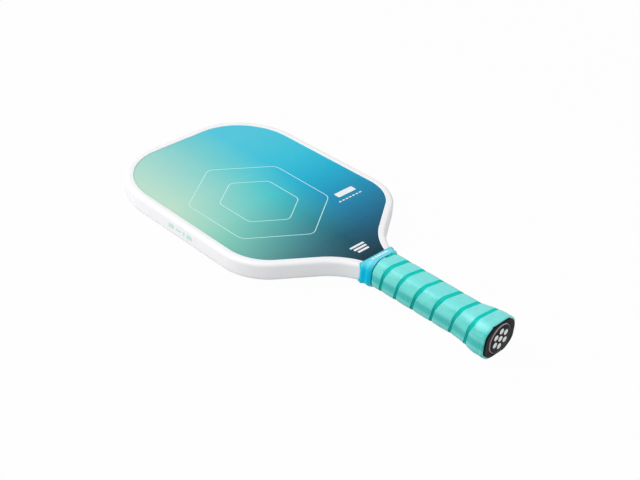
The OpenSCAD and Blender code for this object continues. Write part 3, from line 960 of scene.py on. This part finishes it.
def butt_badge():
    """A bevelled dark disc with seven white dots in place of any mark."""
    face = DOT_PROUD
    outer = BADGE_R - BEVEL_INSET
    flat = outer - BADGE_CHAMFER

    # Profiles as (radius, y), with edges softened by a few hundredths
    disc = [(BADGE_HUB_R, face), (flat - 0.12, face), (flat, face + 0.03),
            (flat, BADGE_BACK), (BADGE_HUB_R, BADGE_BACK)]
    obj = piece("badge_disc", *capped_loft(turned_rings(disc)), MATERIALS["badge"], "badge")
    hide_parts("butt_badge")
    # The bevel ring's pale colour is a painted highlight on the dark badge.
    bevel = [(flat + 0.01, face + 0.02), (flat + 0.12, face + 0.05),
             (outer - 0.06, BADGE_CHAMFER - 0.06), (outer, BADGE_CHAMFER + 0.06),
             (outer, BADGE_BACK), (flat + 0.01, BADGE_BACK)]
    solid = looped_loft(turned_rings(bevel))
    obj = piece("badge_bevel_painted_highlight", *solid, MATERIALS["badge_bevel_painted_highlight"], "badge")
    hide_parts("butt_badge")
    centres = [(0.0, 0.0)] + [(DOT_RING_R * math.sin(a), DOT_RING_R * math.cos(a))
                              for a in np.linspace(0, 2 * math.pi, 6, endpoint=False)]
    dots = [badge_dot(centre) for centre in centres]
    piece("badge_dots", *merged(dots), MATERIALS["white_ink"], "badge")


# ---- Printed marks: plain lines and bars -------------------------------------------

# Gap between the face and its marks
MARK_LIFT = 0.002
HEXAGON_CENTRE, HEXAGON_TURN, HEXAGON_SQUEEZE = (-16, 272), math.radians(30), 0.92
# Each hexagon's radius and its corners' radius
HEXAGONS = ((71, 9), (40, 7))
LINE_W = 0.75

# Bars on the face as (x0, x1, y0, y1, corner_r): a label, a row of dashes below it, and
# three that get shorter at the throat
FACE_BARS = [(47, 71, 229, 236, 1.2)]
FACE_BARS += [(41 + 4.6 * i, 44 + 4.6 * i, 222.5, 224, 0.5) for i in range(7)]
FACE_BARS += [(-9 + i, 9 - i, 162 - 4 * i, 164.4 - 4 * i, 0.8) for i in range(3)]


def hexagon(radius, corner_r):
    """A hexagon with round corners, squeezed a little across the paddle."""
    angles = HEXAGON_TURN + np.linspace(0, 2 * np.pi, 6, endpoint=False)
    corners = np.stack([HEXAGON_SQUEEZE * radius * np.cos(angles), radius * np.sin(angles)], -1)
    return rounded(corners, corner_r, 8, 6) + np.array(HEXAGON_CENTRE)


def band(outline, width, base):
    """A thin flat line along a closed outline."""
    along = unit(np.roll(outline, -1, 0) - np.roll(outline, 1, 0))
    across = np.stack([along[:, 1], -along[:, 0]], -1) * width / 2
    top = base + INK_T
    rings = [laid_flat(outline + across * side, z)
             for side, z in ((1, base), (-1, base), (-1, top), (1, top))]
    return looped_loft(np.array(rings))


def plate(x0, x1, y0, y1, corner_r, base):
    """A thin flat bar with round corners."""
    outline = bar_outline(x0, x1, y0, y1, corner_r)
    return capped_loft(np.array([laid_flat(outline, z) for z in (base, base + INK_T)]))


def face_marks():
    """A large thin-lined pair of nested hexagons, and small plain bars beside them."""
    base = FACE_TOP + MARK_LIFT
    lines = [band(hexagon(radius, corner_r), LINE_W, base) for radius, corner_r in HEXAGONS]
    piece("face_lines", *merged(lines), MATERIALS["ink"], "face")
    bars = [plate(*bar, base) for bar in FACE_BARS]
    piece("face_bars", *merged(bars), MATERIALS["white_ink"], "face")


# ---- Floor, lights and camera ------------------------------------------------------

# Places and the floor's size in metres, and the lens in millimetres
CAMERA_PLACE = Vector((-0.77517, -0.46120, 0.66901))
CAMERA_AIM = Vector((-0.01009, 0.19840, 0.0))
CAMERA_ROLL = math.radians(5.480)
LENS = 75.265
FLOOR_SIZE = 8.0

# In millimetres: where the flared butt rests, and how far from the tip the guard rests
REST_Y, REST_FROM_TIP = 8.0, 3.0

# The floor's glow where it is seen, its grey for the light it throws back, and the sky's
# brightness where it isn't seen
FLOOR_GLOW, FLOOR_GREY, SKY = 0.98, 0.45, 0.5


def camera_sees(material):
    """1 for rays that show the background: camera, mirror and glass rays."""
    path = node(material, "ShaderNodeLightPath").outputs
    seen = maths(material, "MAXIMUM", path["Is Camera Ray"], path["Is Glossy Ray"])
    return maths(material, "MAXIMUM", seen, path["Is Transmission Ray"])


def floor():
    """A white floor on which the paddle lies, on its flared butt and the guard's rear lip."""
    rest_z = GRIP_LOW - CROWN
    tip = cad_box[1][1] / MM
    slope = math.atan2(-GUARD_TOP - rest_z, tip - REST_FROM_TIP - REST_Y)
    half = FLOOR_SIZE / 2
    corners = [(-half, -half, 0), (half, -half, 0), (half, half, 0), (-half, half, 0)]
    mesh = bpy.data.meshes.new("floor")
    mesh.from_pydata(corners, [], [(0, 1, 2, 3)])
    obj = added("floor", mesh)
    obj.rotation_euler = (slope, 0, 0)
    obj.location = (0, REST_Y * MM, rest_z * MM)
    m = bpy.data.materials.new("floor_white")
    m.use_nodes = True
    m.node_tree.nodes.clear()
    lit = node(m, "ShaderNodeBsdfDiffuse", {"Color": (FLOOR_GREY, FLOOR_GREY, FLOOR_GREY, 1)})
    glow = node(m, "ShaderNodeEmission", {"Color": WHITE, "Strength": 1.0})
    share = maths(m, "MULTIPLY", camera_sees(m), FLOOR_GLOW)
    mix = node(m, "ShaderNodeMixShader", {0: share, 1: lit.outputs[0], 2: glow.outputs[0]})
    node(m, "ShaderNodeOutputMaterial", {"Surface": mix.outputs[0]})
    mesh.materials.append(m)


def world():
    """An even pale sky, seen as white."""
    w = bpy.data.worlds.new("studio")
    w.use_nodes = True
    w.node_tree.nodes.clear()
    strength = node(w, "ShaderNodeMapRange", {
        "Value": camera_sees(w), "To Min": SKY, "To Max": 1.0}).outputs[0]
    sky = node(w, "ShaderNodeBackground", {"Color": WHITE, "Strength": strength})
    node(w, "ShaderNodeOutputWorld", {"Surface": sky.outputs[0]})
    bpy.context.scene.world = w


def soft_light(name, direction, distance, size, power):
    """A square lamp that looks at the paddle's middle."""
    lamp = bpy.data.lights.new(name, "AREA")
    lamp.size = size
    lamp.energy = power
    obj = added(name, lamp)
    middle = Vector((0, cad_box[1][1] / 2, 0))
    towards = Vector(direction).normalized()
    obj.location = middle + towards * distance
    obj.rotation_euler = towards.to_track_quat("Z", "Y").to_euler()


def camera():
    """The main view, from the left of the butt and high above the front face."""
    data = bpy.data.cameras.new("camera")
    data.lens = LENS
    data.clip_start = 0.01
    obj = added("camera", data)
    obj.location = CAMERA_PLACE
    level = (CAMERA_AIM - CAMERA_PLACE).to_track_quat("-Z", "Y")
    obj.rotation_euler = (level @ Quaternion((0, 0, 1), CAMERA_ROLL)).to_euler()
    bpy.context.scene.camera = obj


# ---- The scene ---------------------------------------------------------------------

camera()
dress_frame()
edge_guard()
guard_marks()
cushion_grip()
grip_collar()
collar_marks()
butt_cap()
butt_badge()
face_marks()
floor()
world()
soft_light("key", (-0.40, 0.55, 0.74), 2.4, 1.05, 22.5)
soft_light("side", (-1.0, 0.35, 0.4), 1.6, 1.2, 9.5)
soft_light("front", (0.1, -1.0, 0.35), 1.6, 1.0, 5.5)
bpy.context.scene.view_settings.view_transform = "Standard"
